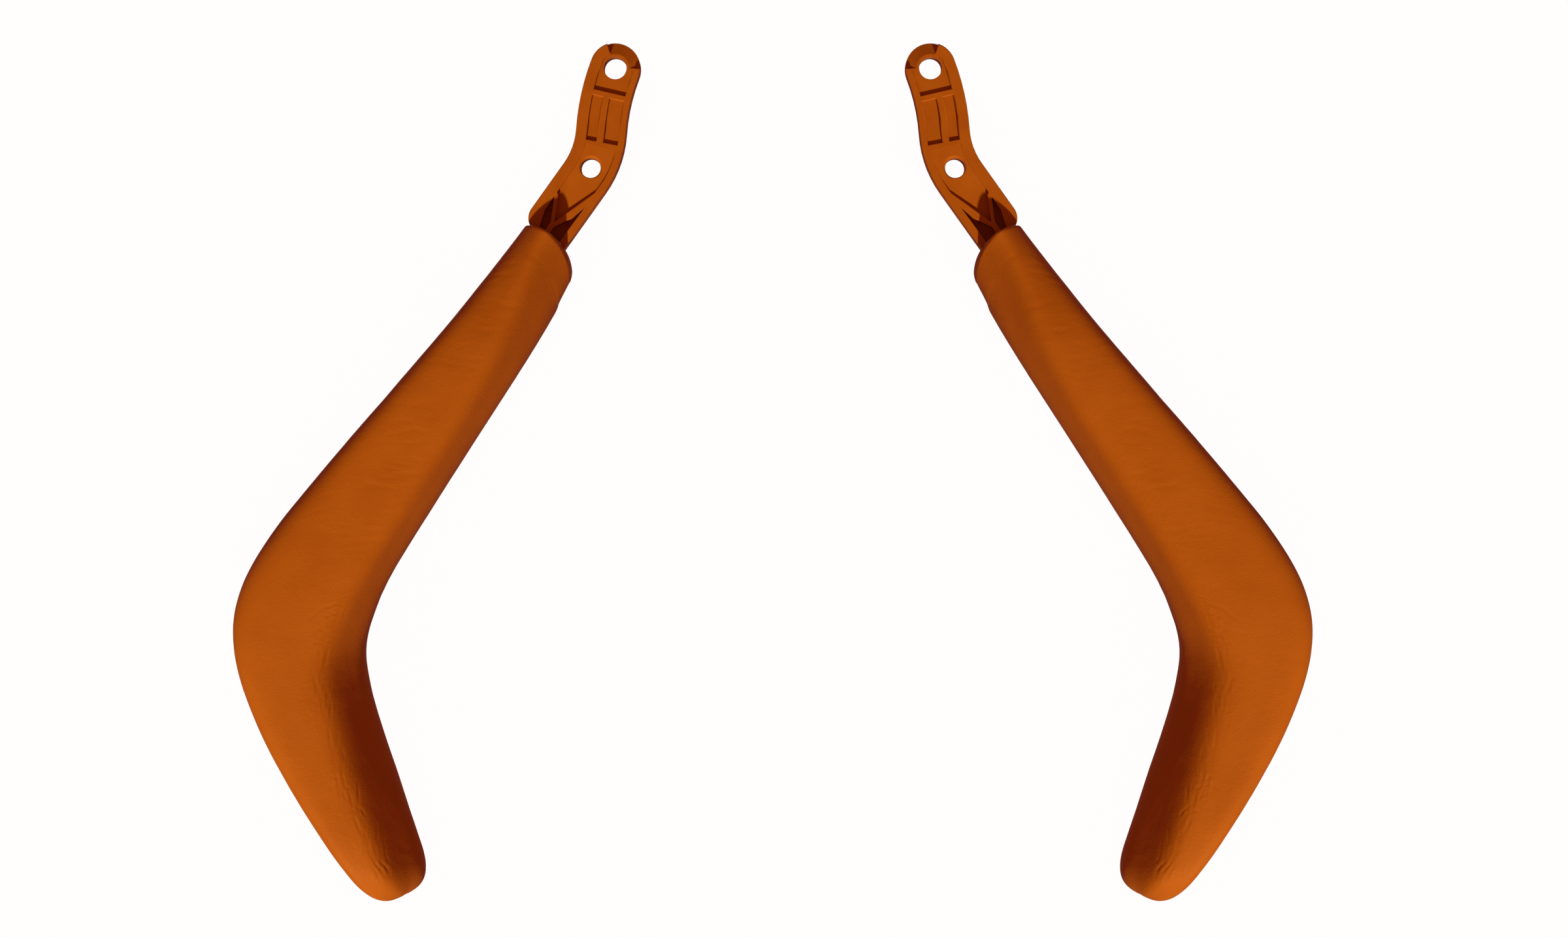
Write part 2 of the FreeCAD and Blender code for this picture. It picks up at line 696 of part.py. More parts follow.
plate_disc = boolean("Cut", "plate_disc", lining, behind_plate)
plate_slot = boolean("Cut", "plate_slot", plate_disc, blank)
plate_body = merge("plate_body", plate_slot, make_tab())
collar_plate = boolean("Cut", "plate", plate_body, merge("plate_cuts", screws, staple_set))

wadding_shell = boolean("Cut", "wadding_shell", behind_plate, core)
wadding = carved("wadding_layer", wadding_shell, blank)

foam_block = carved("foam_block", core, blank)
upper_half = above("spar_level", "dims.frame_back + dims.frame_thick / 2")
foam_front = boolean("Common", "front_foam", foam_block, upper_half)
foam_back_block = boolean("Cut", "foam_back_block", foam_block, upper_half)
foam_back = boolean("Cut", "back_foam", foam_back_block, merge("tab_cuts", plate_body, screws))

RIGHT_ARM = {
    "arm_frame": arm_frame,
    "front_cover": front_cover,
    "back_cover": back_cover,
    "seam_thread": thread,
    "wadding": wadding,
    "foam_front": foam_front,
    "foam_back": foam_back,
    "collar_plate": collar_plate,
    "collar_screws": screws,
    "staples": staple_set,
}


# ---------------------------------------------------------------- both arms, checked and written

def mirrored(source, name):
    feature = doc.addObject("Part::Mirroring", name)
    feature.Source = source
    feature.Base = Vector(0, 0, 0)
    feature.Normal = Vector(1, 0, 0)
    return feature


nodes = []
for name, feature in RIGHT_ARM.items():
    feature.Label = f"{name}_right"
    twin = mirrored(feature, f"{name}_twin")
    twin.Label = f"{name}_left"
    nodes += [feature, twin]

doc.recompute()
for item in doc.Objects:
    if "Invalid" in item.State or "Error" in item.State:
        raise RuntimeError(f"{item.Name} failed: {item.State}")
for node in nodes:
    if node.Shape.isNull() or not node.Shape.isValid():
        raise RuntimeError(f"{node.Label} has no valid shape")

os.makedirs("parts", exist_ok=True)
for node in nodes:
    node.Shape.exportStep(f"parts/{node.Label}.step")
    print(f"{node.Label}: {len(node.Shape.Solids)} solids, {node.Shape.Volume:.0f} mm3")
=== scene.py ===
import json
import math

import bpy
import numpy as np
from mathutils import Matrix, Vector
from mathutils.bvhtree import BVHTree

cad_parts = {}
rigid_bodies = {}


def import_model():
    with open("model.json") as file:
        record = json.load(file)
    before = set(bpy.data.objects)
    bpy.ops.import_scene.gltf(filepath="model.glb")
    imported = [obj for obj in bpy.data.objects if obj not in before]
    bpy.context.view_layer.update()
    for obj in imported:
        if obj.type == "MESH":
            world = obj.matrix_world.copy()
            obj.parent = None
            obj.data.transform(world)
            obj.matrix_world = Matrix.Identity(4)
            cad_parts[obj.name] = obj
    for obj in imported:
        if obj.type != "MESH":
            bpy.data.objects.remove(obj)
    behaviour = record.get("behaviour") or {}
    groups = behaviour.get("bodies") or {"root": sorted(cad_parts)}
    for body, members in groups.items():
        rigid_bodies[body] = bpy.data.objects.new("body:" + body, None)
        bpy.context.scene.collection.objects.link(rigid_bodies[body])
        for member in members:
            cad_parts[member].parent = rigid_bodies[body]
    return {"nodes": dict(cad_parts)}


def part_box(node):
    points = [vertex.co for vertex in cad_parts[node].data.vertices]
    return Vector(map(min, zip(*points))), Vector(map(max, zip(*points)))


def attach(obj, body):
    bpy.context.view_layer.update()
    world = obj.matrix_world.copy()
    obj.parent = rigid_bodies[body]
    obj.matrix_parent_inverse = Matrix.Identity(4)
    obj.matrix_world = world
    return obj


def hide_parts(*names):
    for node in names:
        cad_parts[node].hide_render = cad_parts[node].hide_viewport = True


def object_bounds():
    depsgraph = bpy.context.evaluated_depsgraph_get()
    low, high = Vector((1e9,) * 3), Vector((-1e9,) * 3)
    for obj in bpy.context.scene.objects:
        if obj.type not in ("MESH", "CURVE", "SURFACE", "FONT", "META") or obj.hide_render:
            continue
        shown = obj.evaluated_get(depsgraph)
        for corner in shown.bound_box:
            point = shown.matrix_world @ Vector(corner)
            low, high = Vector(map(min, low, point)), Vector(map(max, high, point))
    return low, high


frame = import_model()
cad_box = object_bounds()

# The leather sleeves are built in millimetres along the arm's spine and turned to metres at the end.
# t is the distance along the spine from the upper bolt hole, u the offset across it, outwards.
MM = 0.001
rng = np.random.default_rng(11)

# The spine: its lean from straight down, in degrees, at a few places, and even turns between them.
NOSE_HALF = 13.5                            # half the width of the bracket's nose
LEAN_AT = [0.0, 35.01, 61.95, 301.25, 405.79]
LEANS = [21.0, 4.0, 35.5, 35.5, -25.0]
SPINE_FROM, SPINE_TO, SPINE_STEP = -40.0, 560.0, 0.25

# The sleeve is measured in rays from a line inside it: in planes square to the spine, and in planes
# that fan out round the tip.
AXIS_ASIDE = -7.0                           # u of that line
AXIS_HIGH = 20.0                            # its height
COLLAR_NEAR = 97.3                          # nearest point of the collar
PLANE_STEP = 2.0
PLANE_COUNT = 196
PLANES_BEYOND = 6                           # more planes, so that the last ones are smoothed evenly
TIP_AT = COLLAR_NEAR + PLANE_STEP * (PLANE_COUNT - 1)      # where the tip's rows start to fan out
TIP_REACH = 22.0                            # about how far the tip stands past it
TILT_COUNT = 32
DIRECTIONS = 240
RAY_FROM = 60.0                             # distance from the line at which a ray starts
SIDES_FROM = -0.25                          # sine of the lowest direction that meets a side
PANEL_EDGE = 4.0                            # the back is surely flat this far inside the outline

# The collar's round end, and its turned edge.
COLLAR_CENTRE = 122.3
COLLAR_ARC = 25.0
COLLAR_ASIDE = 2.6
COLLAR_WIDEST = COLLAR_ARC - 0.6            # the round end isn't followed further aside
COLLAR_CLEAR = 1.2
COLLAR_BLEND = 42.0                         # length over which the rows turn from round to square
LIP = 1.3                                   # radius of the turned collar edge
SLOT_SIDES = (-13.8, 9.4)                   # u of the moulding's faces where it leaves the collar
SLOT_HEIGHTS = (13.8, 28.2)                 # and their heights

# The closing seam on the back.
SEAM_INSET = 7.0
SEAM_STARTS, SEAM_ENDS = 113.4, 504.0
ROUND_START, ROUND_END = 11.0, 14.0         # lengths of the seam's round ends
STITCH_PITCH = 8.0
ROLL_RISE = 1.15                            # how far the edges roll up into the seam
LEATHER = 1.4                               # thickness of the leather

COLUMNS = 190                               # points round the sleeve in each row


# ---------------------------------------------------------------- the spine

class Spine:
    """The right arm's middle line in plan, from the leans that the moulding is drawn with."""

    def __init__(self):
        low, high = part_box("arm_frame_right")
        self.t = np.arange(SPINE_FROM, SPINE_TO, SPINE_STEP)
        self.lean = np.radians(np.interp(self.t, LEAN_AT, LEANS))
        x = np.cumsum(np.sin(self.lean)) * SPINE_STEP
        y = -np.cumsum(np.cos(self.lean)) * SPINE_STEP
        nose = int(-SPINE_FROM / SPINE_STEP)
        self.x = x - x[nose] + low[0] / MM + NOSE_HALF
        self.y = y - y[nose] + high[1] / MM - NOSE_HALF

    def place(self, t, u):
        """Plan point, for numbers or arrays."""
        lean = self.lean_at(t)
        return (np.interp(t, self.t, self.x) + u * np.cos(lean),
                np.interp(t, self.t, self.y) + u * np.sin(lean))

    def lean_at(self, t):
        """The spine's lean in radians."""
        return np.interp(t, self.t, self.lean)


spine = Spine()


def collar_line(u):
    """t of the sleeve's round collar end at an offset u."""
    aside = np.minimum(np.abs(u + COLLAR_ASIDE), COLLAR_WIDEST)
    return COLLAR_CENTRE - np.sqrt(COLLAR_ARC ** 2 - aside ** 2)


# ---------------------------------------------------------------- the CAD sleeve's outer form

def gaussian(values, sigma, axis, wrap=False):
    """Smooth an array along one axis."""
    reach = int(math.ceil(3 * sigma))
    weights = np.exp(-0.5 * (np.arange(-reach, reach + 1) / sigma) ** 2)
    weights /= weights.sum()
    padding = [(0, 0)] * values.ndim
    padding[axis] = (reach, reach)
    padded = np.pad(values, padding, mode="wrap" if wrap else "reflect")
    return np.apply_along_axis(lambda line: np.convolve(line, weights, mode="valid"), axis, padded)


PHI = np.linspace(0.0, 2 * np.pi, DIRECTIONS + 1)[:-1]
PLANES = COLLAR_NEAR + PLANE_STEP * np.arange(PLANE_COUNT)
TILTS = np.linspace(0.0, np.pi / 2, TILT_COUNT)


def cover_tree():
    """The right sleeve's two CAD covers, ready for rays."""
    vertices, faces = [], []
    for node in ("front_cover_right", "back_cover_right"):
        mesh = frame["nodes"][node].data
        base = len(vertices)
        vertices += [v.co.copy() for v in mesh.vertices]
        faces += [[base + i for i in p.vertices] for p in mesh.polygons]
    return BVHTree.FromPolygons(vertices, faces)


def ray_radius(tree, t, tilt, phi):
    """Distance in mm from the sleeve's inner line to the cover's outer face, or None."""
    lean = float(spine.lean_at(t))
    across = Vector((math.cos(lean), math.sin(lean), 0))
    along = Vector((math.sin(lean), -math.cos(lean), 0))
    x, y = spine.place(t, AXIS_ASIDE)
    centre = Vector((float(x), float(y), AXIS_HIGH)) * MM
    way = (across * math.cos(phi) + Vector((0, 0, math.sin(phi)))) * math.cos(tilt)
    way += along * math.sin(tilt)
    reach = RAY_FROM * MM
    spot = tree.ray_cast(centre + way * reach, -way, reach)[0]
    if spot is None:
        return None
    return (spot - centre).length / MM


def floor_radius(tilt, phi):
    """Distance to the floor plane in that direction, or infinity where it leads upwards or level."""
    fall = -math.sin(phi) * math.cos(tilt)
    return AXIS_HIGH / fall if fall > 0.05 else math.inf


def measure_rows(tree, planes, tilts):
    """Radii of rows at some places along the arm, or of the tip's rows at some tilts."""
    table = []
    for t, tilt in zip(planes, tilts):
        radii = [ray_radius(tree, t, tilt, phi) for phi in PHI]
        table.append([np.nan if r is None else r for r in radii])
    return np.array(table)


def carry_past_collar(table, planes):
    """Near the collar a plane runs out past its round end: such places carry on the trend."""
    trend_from, trend_rows, steepest = 2, 5, 0.6
    for column in range(len(PHI)):
        radii = table[:, column]
        for row in range(len(planes) - trend_from - trend_rows - 1, -1, -1):
            near = AXIS_ASIDE + radii[row + 1] * math.cos(PHI[column])
            if np.isnan(radii[row]) or planes[row] < collar_line(near) + COLLAR_CLEAR:
                start = row + trend_from
                trend = (radii[start] - radii[start + trend_rows]) / trend_rows
                radii[row] = radii[row + 1] + np.clip(trend, -steepest, steepest)


def close_back(table, planes, tilts):
    """The back is closed by a flat panel, so its seam's gap is bridged."""
    for row in range(len(table)):
        sides = (np.sin(PHI) > SIDES_FROM) & ~np.isnan(table[row])
        u = AXIS_ASIDE + table[row] * np.cos(PHI) * math.cos(tilts[row])
        outer, inner = u[sides].max(), u[sides].min()
        for column in range(len(PHI)):
            floor = floor_radius(tilts[row], PHI[column])
            if math.isinf(floor):
                continue
            aside = AXIS_ASIDE + floor * math.cos(PHI[column]) * math.cos(tilts[row])
            ahead = planes[row] + floor * math.sin(tilts[row])
            if inner + PANEL_EDGE < aside < outer - PANEL_EDGE and ahead < SEAM_ENDS - 2:
                table[row, column] = floor
            else:
                table[row, column] = np.fmin(table[row, column], floor)
    for row, column in zip(*np.nonzero(np.isnan(table))):
        table[row, column] = table[row - 1, column]


def measured_radii():
    """Radii of the straight rows and then of the tip's rows, with the CAD mesh's facets taken out."""
    tree = cover_tree()
    planes = COLLAR_NEAR + PLANE_STEP * np.arange(PLANE_COUNT + PLANES_BEYOND)
    flat = np.zeros(len(planes))
    straight = measure_rows(tree, planes, flat)
    carry_past_collar(straight, planes)
    close_back(straight, planes, flat)
    straight = gaussian(straight, 1.6, 0)[:PLANE_COUNT]
    at_tip = np.full(len(TILTS) - 1, TIP_AT)
    fan = measure_rows(tree, at_tip, TILTS[1:])
    close_back(fan, at_tip, TILTS[1:])
    shared = 8
    fan = gaussian(np.vstack([straight[-shared:], fan]), 0.8, 0)[shared:]
    return gaussian(np.vstack([straight, fan]), 0.9, 1, wrap=True)


RADII = measured_radii()


def between_radii(row, near_row, phi):
    """The radius at a row number, which may lie between two rows, in the directions phi."""
    column = (phi % (2 * np.pi)) / (2 * np.pi) * len(PHI)
    near_column = column.astype(int)
    share = column - near_column
    here, there = near_column % len(PHI), (near_column + 1) % len(PHI)
    near = RADII[near_row, here] * (1 - share) + RADII[near_row, there] * share
    far = RADII[near_row + 1, here] * (1 - share) + RADII[near_row + 1, there] * share
    along = row - near_row
    return near * (1 - along) + far * along


def radius_at(t, phi):
    """Radius of the straight rows, for arrays of t and phi."""
    row = np.clip((t - PLANES[0]) / PLANE_STEP, 0, len(PLANES) - 1.001)
    return between_radii(row, row.astype(int), phi)


def tip_radius(tilt, phi):
    """Radius of the tip's rows, for one tilt and an array of phi."""
    row = len(PLANES) - 1 + tilt / (np.pi / 2) * (len(TILTS) - 1)
    return between_radii(row, min(int(row), len(RADII) - 2), phi)


def smoothstep(x):
    """From 0 to 1 as x goes from 0 to 1, level at both ends."""
    x = np.clip(x, 0, 1)
    return x * x * (3 - 2 * x)


FINE = np.linspace(0.0, 2 * np.pi, 1441)[:-1] - np.pi / 2     # starts and ends straight down


def form_row(nominal, tilt):
    """(t, u, z) round the sleeve for one row, at the FINE directions."""
    if tilt > 0:
        r = tip_radius(tilt, FINE)
        return (TIP_AT + r * math.sin(tilt),
                AXIS_ASIDE + r * math.cos(tilt) * np.cos(FINE),
                AXIS_HIGH + r * math.cos(tilt) * np.sin(FINE))
    t = np.full(len(FINE), float(nominal))
    blend = 1 - smoothstep((nominal - COLLAR_NEAR) / COLLAR_BLEND)
    for _ in range(4):      # t and u depend on each other, so they are worked out in turns
        r = radius_at(t, FINE)
        u = AXIS_ASIDE + r * np.cos(FINE)
        t = nominal + (collar_line(u) - COLLAR_NEAR) * blend
    return t, u, AXIS_HIGH + r * np.sin(FINE)


# ---------------------------------------------------------------- where the closing seam runs

def half_widths():
    """Outline of the straight rows: middle and half width, at the PLANES."""
    sides = np.sin(PHI) > -0.5
    u = AXIS_ASIDE + RADII[:len(PLANES)] * np.cos(PHI)
    outer = np.where(sides, u, -1e9).max(axis=1)
    inner = np.where(sides, u, 1e9).min(axis=1)
    return (outer + inner) / 2, (outer - inner) / 2


MIDDLES, HALVES = half_widths()


def seam_half(t):
    """Half the back panel's width at t; nothing where the sleeve closes on itself."""
    half = np.interp(t, PLANES, HALVES) - SEAM_INSET
    start = np.clip((SEAM_STARTS + ROUND_START - t) / ROUND_START, 0, 1)
    end = np.clip((t - (SEAM_ENDS - ROUND_END)) / ROUND_END, 0, 1)
    inside = (t > SEAM_STARTS) & (t < SEAM_ENDS)
    return np.where(inside, half * np.sqrt(np.maximum(1 - start ** 2, 0) * np.maximum(1 - end ** 2, 0)), 0)


def seam_middle(t):
    """u of the back panel's middle line."""
    return np.interp(t, PLANES, MIDDLES)


def cut_row(t, u, z):
    """The row's part outside the seam, as COLUMNS points evenly spaced along it."""
    inside = seam_half(t) - np.abs(u - seam_middle(t))
    inside = np.where(z < AXIS_HIGH, inside, -99.0)      # the front is far outside
    # FINE runs from straight down, round the outer side, over the front and down the inner side.
    half = len(t) // 2
    first = 0
    for i in range(half):
        if inside[i] > 0 >= inside[i + 1]:
            first = i + inside[i] / (inside[i] - inside[i + 1])
    last = len(t) - 1
    for i in range(last, half, -1):
        if inside[i] > 0 >= inside[i - 1]:
            last = i - inside[i] / (inside[i] - inside[i - 1])
    index = np.concatenate([[first], np.arange(int(first) + 1, int(math.ceil(last))), [last]])
    samples = np.arange(len(t))
    points = np.stack([np.interp(index, samples, values) for values in (t, u, z)], axis=1)
    steps = np.linalg.norm(np.diff(points, axis=0), axis=1)
    length = np.concatenate([[0], np.cumsum(steps)])
    even = np.linspace(0, length[-1], COLUMNS)
    cut = np.stack([np.interp(even, length, points[:, k]) for k in range(3)], axis=1)
    return cut, even


def sleeve_rows():
    """The sleeve's points (t, u, z), their distances round each row, and where each row stands."""
    places = [(nominal, 0.0) for nominal in np.arange(COLLAR_NEAR + LIP, TIP_AT - 0.4, 1.0)]
    places += [(TIP_AT, tilt) for tilt in np.linspace(0, np.pi / 2 - 0.035, 34)]
    cuts = [cut_row(*form_row(nominal, tilt)) for nominal, tilt in places]
    points, evens = zip(*cuts)
    stands = [nominal + TIP_REACH * math.sin(tilt) for nominal, tilt in places]
    return np.array(points), np.array(evens), np.array(stands)


grid, arcs, row_at = sleeve_rows()


def to_world(points):
    """(t, u, z) in mm to (x, y, z) in mm."""
    x, y = spine.place(points[..., 0], points[..., 1])
    return np.stack([x, y, points[..., 2]], axis=-1)


def grid_normals(world):
    """Outward normals of the grid: columns run from the outer back edge over the front."""
    along = np.gradient(world, axis=0)
    across = np.gradient(world, axis=1)
    normal = np.cross(across, along)
    return normal / np.maximum(np.linalg.norm(normal, axis=-1, keepdims=True), 1e-9)


world = to_world(grid)
for _ in range(2):
    world[1:-1] = 0.5 * world[1:-1] + 0.25 * (world[:-2] + world[2:])

# The tip is rounded off more, above its flat back.
near_tip = smoothstep((row_at - TIP_AT + 16) / 10)[:, None]
above_back = smoothstep((grid[..., 2] - 3) / 9)
round_off = (near_tip * above_back)[..., None]
world = world * (1 - round_off) + gaussian(world, 2.2, 0) * round_off

normals = grid_normals(world)
for axis in (0, 1):
    normals = gaussian(normals, 1.5, axis)
normals /= np.linalg.norm(normals, axis=-1, keepdims=True)

# ---------------------------------------------------------------- relief of the leather

# Where the ridge stands along the arm, as a share of the width from the inner edge.
RIDGE_T = [97.0, 124.0, 150.0, 182.0, 216.0, 308.0, 330.0, 350.0, 370.0, 392.0, 418.0, 446.0, 470.0,
           490.0, 511.0]
RIDGE_SHARE = [0.62, 0.52, 0.34, 0.24, 0.19, 0.16, 0.18, 0.21, 0.26, 0.31, 0.35, 0.39, 0.44, 0.5, 0.5]


def ridge_distances():
    """Distance of every grid point from the ridge, round the row, outer side positive."""
    share = np.interp(row_at, RIDGE_T, RIDGE_SHARE)
    middle = np.interp(row_at, PLANES, MIDDLES)
    half = np.interp(row_at, PLANES, HALVES)
    ridge_u = middle - half + 2 * half * share
    front = grid[:, :, 2] > AXIS_HIGH
    gap = np.where(front, np.abs(grid[:, :, 1] - ridge_u[:, None]), np.inf)
    at = gap.argmin(axis=1)
    ridge_arc = arcs[np.arange(len(arcs)), at]
    ridge_arc = gaussian(ridge_arc, 6.0, 0)
    return ridge_arc[:, None] - arcs


from_ridge = ridge_distances()
relief = np.zeros(grid.shape[:2])
along_rows = np.repeat(row_at[:, None], COLUMNS, axis=1)


def crease(t, q, angle, half_length, depth, width, bow):
    """Press one crease at t, q from the ridge: a slightly bowed line with a soft lip on both sides."""
    near = np.abs(row_at - t) < half_length + 6 * width
    if not near.any():
        return
    a = along_rows[near] - t
    b = from_ridge[near] - q
    x = a * math.cos(angle) + b * math.sin(angle)
    y = -a * math.sin(angle) + b * math.cos(angle) - bow * x * x
    fade = np.clip(1 - (x / half_length) ** 2, 0, 1) ** 0.8
    cut = np.exp(-(y / width) ** 2) - 0.38 * np.exp(-(y / (2.6 * width)) ** 2)
    relief[near] -= depth * fade * cut


def noise(sigma_rows, sigma_columns):
    """Even random hills with a height of about one."""
    field = rng.standard_normal(relief.shape)
    field = gaussian(gaussian(field, sigma_rows, 0), sigma_columns, 1)
    return field / field.std()


# Wide swells, small hollows and a fine unevenness.
relief += 0.16 * noise(16, 10) + 0.030 * noise(4, 4) + 0.010 * noise(1.3, 1.3)

# Stretch wrinkles across the upper run, in loose groups that lie level rather than square to it.
WRINKLE_GROUPS = 34
for _ in range(WRINKLE_GROUPS):
    group_t = rng.uniform(108, 300)
    group_q = rng.uniform(3, 36)
    slant = math.radians(rng.normal(57, 9))
    for _ in range(int(rng.integers(2, 6))):
        crease(group_t + rng.uniform(-8, 8), group_q + rng.uniform(-9, 9),
               slant + math.radians(rng.uniform(-8, 8)), rng.uniform(4, 13),
               rng.uniform(0.03, 0.095), rng.uniform(0.7, 1.5), rng.uniform(-0.008, 0.008))

# Creases beside the ridge, from the elbow to the tip, one behind the other in a band.
RIDGE_CREASES = 150
for _ in range(RIDGE_CREASES):
    t = rng.uniform(322, 503)
    crease(t, rng.normal(3.0, 3.2), math.radians(rng.normal(17, 14)), rng.uniform(2, 9),
           rng.uniform(0.10, 0.30), rng.uniform(0.5, 0.9), rng.uniform(-0.02, 0.02))

# Fine cross creases that branch off them.
CROSS_CREASES = 90
for _ in range(CROSS_CREASES):
    crease(rng.uniform(326, 502), rng.normal(5, 5), math.radians(rng.normal(75, 30)),
           rng.uniform(1.5, 5), rng.uniform(0.06, 0.16), rng.uniform(0.5, 0.8),
           rng.uniform(-0.03, 0.03))

# The rows close in on each other at the very tip, so the relief dies out before it.
FADE_FROM, FADE_LENGTH = 497, 8
relief *= 1 - 0.92 * smoothstep((row_at - FADE_FROM) / FADE_LENGTH)[:, None]

# The leather draws in at the closing seam, more at each stitch, but not where the seam has closed.
PUCKER_WIDTH, ROLL_WIDTH, OPEN_SEAM = 4.0, 1.6, 3.0
edge = np.minimum(arcs, arcs[:, -1:] - arcs)
open_row = smoothstep(np.abs(grid[:, :1, 1] - grid[:, -1:, 1]) / OPEN_SEAM)
pucker = 0.5 + 0.5 * np.cos(2 * np.pi * along_rows / STITCH_PITCH)
relief -= open_row * (0.12 + 0.22 * pucker) * np.exp(-(edge / PUCKER_WIDTH) ** 2)

DEEPEST, HIGHEST = -1.0, 0.8
relief = np.clip(relief, DEEPEST, HIGHEST)
world = world + normals * relief[..., None]
world[..., 2] = np.maximum(world[..., 2], 0.0)

# The edges roll up into the seam.
roll = np.clip(1 - edge / ROLL_WIDTH, 0, 1) * open_row
world[..., 2] += ROLL_RISE * roll ** 2


# ---------------------------------------------------------------- collar end

def slot_points():
    """Outline of the moulding where it leaves the collar, as arrays of u and z, one point a column."""
    inner, outer = SLOT_SIDES
    low, high = SLOT_HEIGHTS
    corners = np.array([(outer, low), (outer, high), (inner, high), (inner, low)])
    steps = np.linspace(0, 1, 60, endpoint=False)[:, None]
    outline = np.vstack([start + (end - start) * steps
                         for start, end in zip(corners, np.roll(corners, -1, axis=0))])
    centre = outline.mean(axis=0)
    angle = np.arctan2(outline[:, 1] - centre[1], outline[:, 0] - centre[0])
    want = np.arctan2(grid[0, :, 2] - centre[1], grid[0, :, 1] - centre[0])
    order = np.argsort(angle)
    wrapped = np.concatenate([angle[order] - 2 * np.pi, angle[order], angle[order] + 2 * np.pi])
    u = np.interp(want, wrapped, np.tile(outline[order, 0], 3))
    z = np.interp(want, wrapped, np.tile(outline[order, 1], 3))
    return u, z


def collar_rows():
    """Rows from inside the slot out to the turned lip, before the sleeve's first row."""
    first_u, first_z = grid[0, :, 1], world[0, :, 2]
    slot_u, slot_z = slot_points()
    made = [np.stack([collar_line(slot_u) + depth, slot_u, slot_z], axis=1) for depth in (5.0, 1.2)]
    pull = LIP / np.maximum(np.hypot(first_u - slot_u, first_z - slot_z), 2 * LIP)
    rim_u = first_u + (slot_u - first_u) * pull
    rim_z = first_z + (slot_z - first_z) * pull
    for share in np.linspace(0.0, 1.0, 9):
        u = slot_u + (rim_u - slot_u) * share
        z = slot_z + (rim_z - slot_z) * share
        dish = 0.9 * (1 - smoothstep(share * 1.6))
        made.append(np.stack([collar_line(u) + dish, u, z], axis=1))
    for angle in np.linspace(0, np.pi / 2, 6)[1:-1]:
        u = rim_u + (first_u - rim_u) * math.sin(angle)
        z = rim_z + (first_z - rim_z) * math.sin(angle)
        made.append(np.stack([collar_line(u) + LIP * (1 - math.cos(angle)), u, z], axis=1))
    return to_world(np.array(made))


sleeve_grid = np.concatenate([collar_rows(), world], axis=0)


# ---------------------------------------------------------------- meshes

def new_object(name, vertices, faces):
    """A smooth-shaded mesh object, in metres."""
    mesh = bpy.data.meshes.new(name)
    mesh.from_pydata([tuple(v) for v in vertices], [], faces)
    mesh.validate()
    mesh.update()
    for polygon in mesh.polygons:
        polygon.use_smooth = True
    piece = bpy.data.objects.new(name, mesh)
    bpy.context.scene.collection.objects.link(piece)
    return piece


def mirrored(vertices, faces, side):
    """The right arm's mesh, or its mirror image for the left arm."""
    vertices = np.array(vertices, dtype=float)
    if side == "left":
        vertices = vertices * np.array([-1.0, 1.0, 1.0])
        faces = [tuple(reversed(face)) for face in faces]
    return vertices * MM, faces


def grid_faces(row_count, column_count, base=0):
    """Four-sided faces between the points of a grid, numbered row by row from base."""
    return [(base + r * column_count + c, base + r * column_count + c + 1,
             base + (r + 1) * column_count + c + 1, base + (r + 1) * column_count + c)
            for r in range(row_count - 1) for c in range(column_count - 1)]


def sleeve_mesh():
    """The leather sleeve, closed at the tip by a fan of triangles."""
    row_count, column_count = sleeve_grid.shape[:2]
    vertices = sleeve_grid.reshape(-1, 3)
    faces = grid_faces(row_count, column_count)
    pole = len(vertices)
    vertices = np.vstack([vertices, sleeve_grid[-1].mean(axis=0)])
    last = (row_count - 1) * column_count
    faces += [(last + c, last + c + 1, pole) for c in range(column_count - 1)]
    faces.append((last + column_count - 1, last, pole))
    return vertices, faces


def closed_sheet(bottom, top):
    """A thin closed piece between two grids of points, one above the other."""
    row_count, column_count = bottom.shape[:2]
    vertices = np.vstack([bottom.reshape(-1, 3), top.reshape(-1, 3)])
    base = row_count * column_count
    faces = [tuple(reversed(face)) for face in grid_faces(row_count, column_count)]
    faces += grid_faces(row_count, column_count, base)
    rim = list(range(column_count))
    rim += [r * column_count + column_count - 1 for r in range(1, row_count)]
    rim += [(row_count - 1) * column_count + c for c in range(column_count - 2, -1, -1)]
    rim += [r * column_count for r in range(row_count - 2, 0, -1)]
    for here, there in zip(rim, rim[1:] + rim[:1]):
        faces.append((here, there, there + base, here + base))
    return vertices, faces


